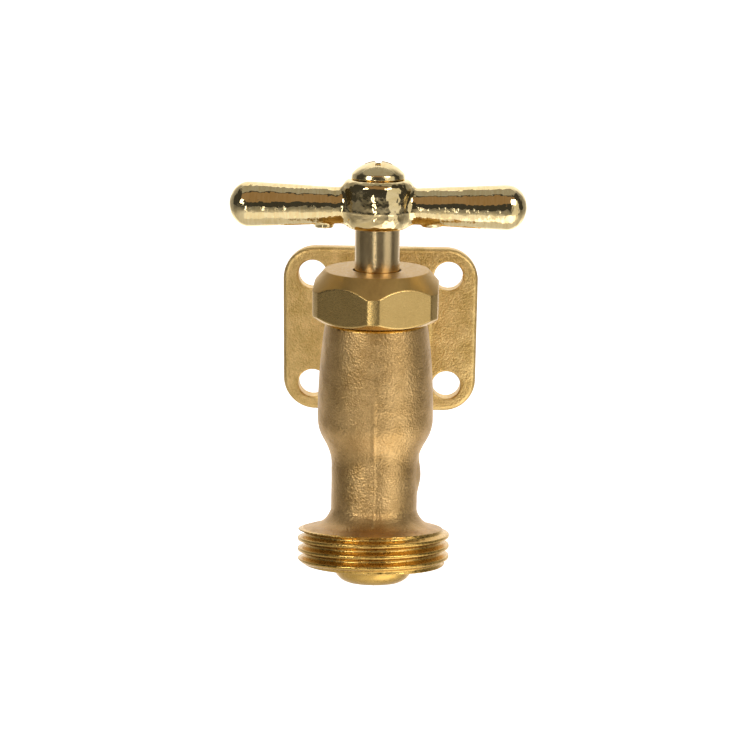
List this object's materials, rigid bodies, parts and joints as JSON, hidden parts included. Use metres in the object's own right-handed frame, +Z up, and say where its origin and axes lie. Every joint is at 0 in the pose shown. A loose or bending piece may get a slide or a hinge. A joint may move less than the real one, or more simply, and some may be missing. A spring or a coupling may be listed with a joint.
{
  "type": "hose bib",
  "caption": "Wall-mounted brass hose bib with a square four-hole flange, tee handle, packed rising stem and a male hose-thread outlet that leans forward.",
  "frame": {"origin": "centre of the flange's wall face", "axes": "+Z up along the stem, +Y into the wall, +X to the right as seen from the front"},
  "size_m": [0.05, 0.0671, 0.0732],
  "materials": {
    "cast_brass": "sand-cast, blasted, with turned threads",
    "turned_brass": "turned and milled, satin",
    "polished_brass": "polished, wavy cast surface",
    "rubber": "moulded, matt",
    "packing": "graphited yarn",
    "spring_steel": "stainless spring wire"
  },
  "bodies": {
    "valve": {"valve_body": "cast_brass", "valve_seat": "turned_brass", "packing_nut": "turned_brass", "packing_washer": "turned_brass", "lower_packing": "packing", "upper_packing": "packing", "packing_gland": "turned_brass"},
    "carrier": {"disc_holder": "turned_brass", "seat_washer": "rubber", "washer_screw": "turned_brass"},
    "spindle": {"stem": "turned_brass", "swivel_ring": "spring_steel", "tee_handle": "polished_brass", "handle_screw": "polished_brass"}
  },
  "joints": [
    {"name": "stem_lift", "type": "slide", "parent": "valve", "child": "carrier", "axis": [0, 0, 1], "range_m": [0, 0.0045]},
    {"name": "handle_turn", "type": "hinge", "parent": "carrier", "child": "spindle", "pos_m": [0, -0.0355, 0], "axis": [0, 0, 1], "range_deg": [0, 810]}
  ],
  "couplings": [
    {"joint": "stem_lift", "follows": "handle_turn", "m_per_rad": 0.00031831}
  ]
}
